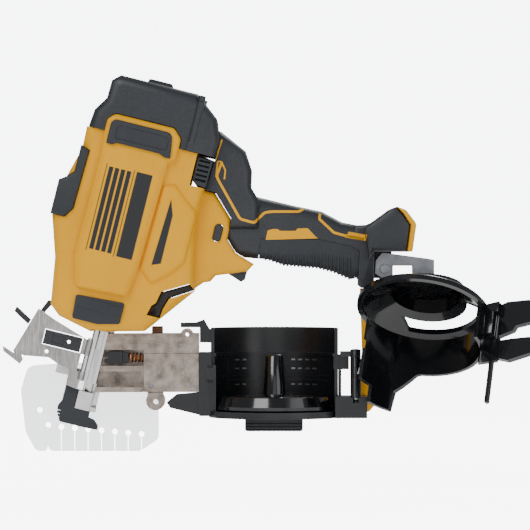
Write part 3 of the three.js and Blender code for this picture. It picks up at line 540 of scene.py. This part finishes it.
# %% [markdown]
# ## Printed plates
# The side panel of such a tool carries printed plates. Here they stay plain: a framed block of even bars,
# a dark strip and a dark slanted strip, with no letters. Each is a thin plate with softened edges, made as
# a solid rather than painted, so that it also shows in the finished meshes.


# %% A thin plate on a flat side
def plate(name, outline, y, slot, body="frame", thick=0.5, place=leaning, side=-1):
    """An outline in millimetres, raised by thick from the flat side at y, with its long edges rounded."""
    outline = np.asarray(outline, dtype=float)
    count = len(outline)
    inner, outer = side * (y - 0.3), side * (y + thick)
    corners = np.concatenate([place(outline[:, 0], inner, outline[:, 1]),
                              place(outline[:, 0], outer, outline[:, 1])])
    ring = np.arange(count)
    ahead = np.roll(ring, -1)
    walls = np.stack([ring, ahead, ahead + count, ring + count], axis=1).tolist()
    mesh = bpy.data.meshes.new(name)
    mesh.from_pydata(corners.tolist(), [], [ring[::-1].tolist(), (ring + count).tolist(), *walls])
    work = bmesh.new()
    work.from_mesh(mesh)
    bmesh.ops.recalc_face_normals(work, faces=work.faces)
    work.to_mesh(mesh)
    work.free()
    piece = bpy.data.objects.new(name, mesh)
    bpy.context.scene.collection.objects.link(piece)
    bevel = piece.modifiers.new("softened", "BEVEL")
    bevel.width = 0.15 * MM
    bevel.segments = 2
    mesh.materials.append(FINISHES[slot])
    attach(piece, body)
    return piece


def oblong(u0, u1, w0, w1):
    """The four corners of an upright oblong."""
    return [(u0, w0), (u1, w0), (u1, w1), (u0, w1)]


# %% The panel's plates, on both sides
PANEL_SIDE = 44.0
BULGE_SIDE = 42.0
for side, hand in ((-1, "left"), (1, "right")):
    for number, u in enumerate((-26.7, -21.6, -16.5, -11.4)):
        plate(f"panel_bar_{number}_{hand}", oblong(u, u + 3.6, 147, 217), PANEL_SIDE, "satin_black",
              side=side, thick=0.25)
    for number, u in enumerate((-29.2, -5.8)):
        plate(f"panel_rule_{number}_{hand}", oblong(u, u + 0.6, 145, 219), PANEL_SIDE, "satin_black",
              side=side, thick=0.25)
    plate(f"panel_strip_{hand}", oblong(-3.3, 10, 146, 218), PANEL_SIDE, "satin_black", side=side, thick=0.3)
    plate(f"slanted_strip_{hand}", [(26.7, 146), (34, 149), (34, 190), (29.5, 203)], BULGE_SIDE,
          "satin_black", side=side, thick=0.3)
print("plates on each side:", 8)

# %% [markdown]
# ## Lines of the housing
# A tall panel of yellow plastic would look like a slab. The real one has shallow steps: an arched row of
# finger ridges under the top pad, and long creases down both edges of the panel. They are raised a few
# tenths of a millimetre and share the housing's plastic.

# %% Ridges and creases of the housing
for side, hand in ((-1, "left"), (1, "right")):
    for number, step in enumerate(np.linspace(0, 1, 8)):
        u = -27 + 38 * step
        low = 229.5 - 7 * (2 * step - 1) ** 2 - 2 * step
        ridge = [(u, low), (u + 3.4, low), (u + 2.6, low + 3.8), (u + 0.8, low + 3.8)]
        plate(f"arched_ridge_{number}_{hand}", ridge, PANEL_SIDE, "yellow_plastic", side=side, thick=0.35)
    creases = {
        "front": [(-34.2, 226), (-35.2, 140), (-29, 116), (-28.2, 117), (-34.2, 141), (-33.2, 226)],
        "rear": [(16.4, 226), (13.4, 140), (11.2, 118), (12.2, 117), (14.4, 140), (17.4, 226)],
    }
    for name, crease in creases.items():
        plate(f"crease_{name}_{hand}", crease, PANEL_SIDE, "yellow_plastic", side=side, thick=0.45)

# %% [markdown]
# ## Inside the magazine
# The back wall of the magazine guides the coil. It carries a groove for the platform, an upright rib, and
# rows of small raised ticks that show the platform's heights. The wall is part of a cylinder, so each of
# them is a patch of that cylinder, worked out from its angle and height and standing a little proud.

# %% Patches of the magazine's wall
MAGAZINE_X = 163.3
WALL_INSIDE = 50.5


def wall_patch(name, x0, x1, z0, z1, proud, slot="satin_black", columns=24):
    """The part of the cylinder between two X and two Z values, from the wall inwards by proud."""
    angles = np.arccos(np.clip((np.linspace(x0, x1, columns) - MAGAZINE_X) / WALL_INSIDE, -1, 1))
    heights = np.array([z0, (z0 + z1) / 2, z1])[:, None]
    grids = []
    for radius in (WALL_INSIDE - proud, WALL_INSIDE + 0.3):
        x = MAGAZINE_X + radius * np.cos(angles)[None] + 0 * heights
        y = radius * np.sin(angles)[None] + 0 * heights
        grids.append(level(x, y, heights + 0 * x))
    piece = grid_solid(name, *grids)
    piece.data.materials.append(FINISHES[slot])
    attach(piece, "frame")
    return piece


wall_patch("wall_groove_lip_low", 116, 208, 36.4, 38.0, 0.7)
wall_patch("wall_groove_lip_high", 116, 208, 40.4, 41.6, 0.7)
wall_patch("wall_upright_rib", 123.0, 124.2, 28, 64, 0.8, columns=4)
for row, z in enumerate((33.0, 46.5, 54.0)):
    for number, x in enumerate((130, 136, 178, 184, 190, 196)):
        wall_patch(f"wall_tick_{row}_{number}", x, x + 3.2, z, z + 1.3, 0.6, "zinc", columns=4)

# %% [markdown]
# ## The casting's crease
# The feed block is a die casting: a thin flash line crosses it from above the feed window to its rear edge,
# and round ejector marks dot its face.

# %% Crease and ejector marks
FEED_SIDE = 9.0
FLASH_LINE = [(24, 70.4), (62, 70.4), (99.5, 62.4), (99.5, 63.3), (62, 71.4), (24, 71.4)]
plate("casting_crease", FLASH_LINE, FEED_SIDE, "cast_metal", place=level, thick=0.35)
for number, (x, z) in enumerate(((71, 73.6), (44, 67.6), (96.5, 66.4))):
    turns = np.linspace(0, 2 * np.pi, 20, endpoint=False)
    mark = np.stack([x + 1.7 * np.cos(turns), z + 1.7 * np.sin(turns)], axis=1)
    plate(f"ejector_mark_{number}", mark, FEED_SIDE, "cast_metal", place=level, thick=0.2)
screw_turns = np.linspace(0, 2 * np.pi, 18, endpoint=False)
for number, (x, z) in enumerate(((60, 34), (94, 34))):
    plate(f"cover_plate_screw_{number}",
          np.stack([x + 1.7 * np.cos(screw_turns), z + 1.7 * np.sin(screw_turns)], axis=1),
          FEED_SIDE - 0.9, "zinc", place=level, thick=0.4)

# %% [markdown]
# ## The studio
# A broad key from the upper left models the forms, and a softer fill from the right opens the shadows. A
# lamp behind draws a line along the black edges. The floor is flat, so that it hides the tool in no view,
# and floor and room look white to the camera but light the tool only gently. The long lens keeps the
# outline square.

# %% Floor, lights and camera
PAPER_GLOW = 0.5
PAPER_SEEN = 14.0
ROOM_LIGHT = 0.32
ROOM_SEEN = 7.5


def soft_light(name, place, target, size, power):
    """A square area light at a place, turned so that it shines on the target."""
    light = bpy.data.lights.new(name, "AREA")
    light.size = size
    light.energy = power
    lamp = bpy.data.objects.new(name, light)
    lamp.location = place
    lamp.rotation_euler = (Vector(target) - Vector(place)).to_track_quat("-Z", "Y").to_euler()
    bpy.context.scene.collection.objects.link(lamp)
    return lamp


def studio_floor():
    """A plain flat pale sheet under the tool, level on every side so that no view is blocked."""
    profile_y = np.array([-4.0, 4.0])
    profile_z = np.full(2, cad_box[0][2] - 0.03)
    x = np.array([-4.0, 4.0])[:, None]
    grid = np.stack([x + 0 * profile_y, profile_y + 0 * x, profile_z + 0 * x], axis=-1)
    index = np.arange(grid.shape[0] * grid.shape[1]).reshape(grid.shape[:2])
    faces = np.stack([index[:-1, :-1], index[1:, :-1], index[1:, 1:], index[:-1, 1:]], axis=-1)
    mesh = bpy.data.meshes.new("studio_floor")
    mesh.from_pydata(grid.reshape(-1, 3).tolist(), [], faces.reshape(-1, 4).tolist())
    mesh.shade_smooth()
    paper = bpy.data.materials.new("pale_paper")
    paper.use_nodes = True
    sheet = paper.node_tree.nodes["Principled BSDF"]
    sheet.inputs["Base Color"].default_value = (0.92, 0.92, 0.92, 1.0)
    sheet.inputs["Roughness"].default_value = 0.9
    seen = paper.node_tree.nodes.new("ShaderNodeLightPath").outputs["Is Camera Ray"]
    glow = mixed(paper.node_tree, seen, (1.0, 1.0, 1.0, 1.0), (PAPER_SEEN,) * 3 + (1.0,))
    paper.node_tree.links.new(glow, sheet.inputs["Emission Color"])
    sheet.inputs["Emission Strength"].default_value = PAPER_GLOW
    mesh.materials.append(paper)
    piece = bpy.data.objects.new("studio_floor", mesh)
    bpy.context.scene.collection.objects.link(piece)


studio_floor()
CENTRE = Vector((-0.0396, 0.0, -0.0228))
soft_light("key", (-0.9, -1.5, 1.5), CENTRE, 1.1, 26)
soft_light("fill", (1.4, -1.4, 0.5), CENTRE, 1.3, 9)
soft_light("front", (0.0, -2.2, 0.1), CENTRE, 1.4, 5)
soft_light("rim", (0.6, 1.2, 1.2), CENTRE, 0.9, 16)

world = bpy.data.worlds.new("pale_room")
world.use_nodes = True
world.node_tree.nodes["Background"].inputs["Color"].default_value = (0.93, 0.95, 1.0, 1.0)
around = world.node_tree.nodes["Background"]
seen = world.node_tree.nodes.new("ShaderNodeLightPath").outputs["Is Camera Ray"]
strength = remap(world.node_tree, seen, 0.0, 1.0, ROOM_LIGHT, ROOM_SEEN)
world.node_tree.links.new(strength, around.inputs["Strength"])
bpy.context.scene.world = world

VIEW_WIDTH = 0.4452
DISTANCE = 3.0
lens = bpy.data.cameras.new("catalogue_lens")
lens.sensor_width = 36.0
lens.lens = 36.0 * DISTANCE / VIEW_WIDTH
camera = bpy.data.objects.new("catalogue_camera", lens)
camera.location = CENTRE + Vector((0.0, -DISTANCE, 0.0))
camera.rotation_euler = (math.radians(90), 0.0, 0.0)
bpy.context.scene.collection.objects.link(camera)
bpy.context.scene.camera = camera
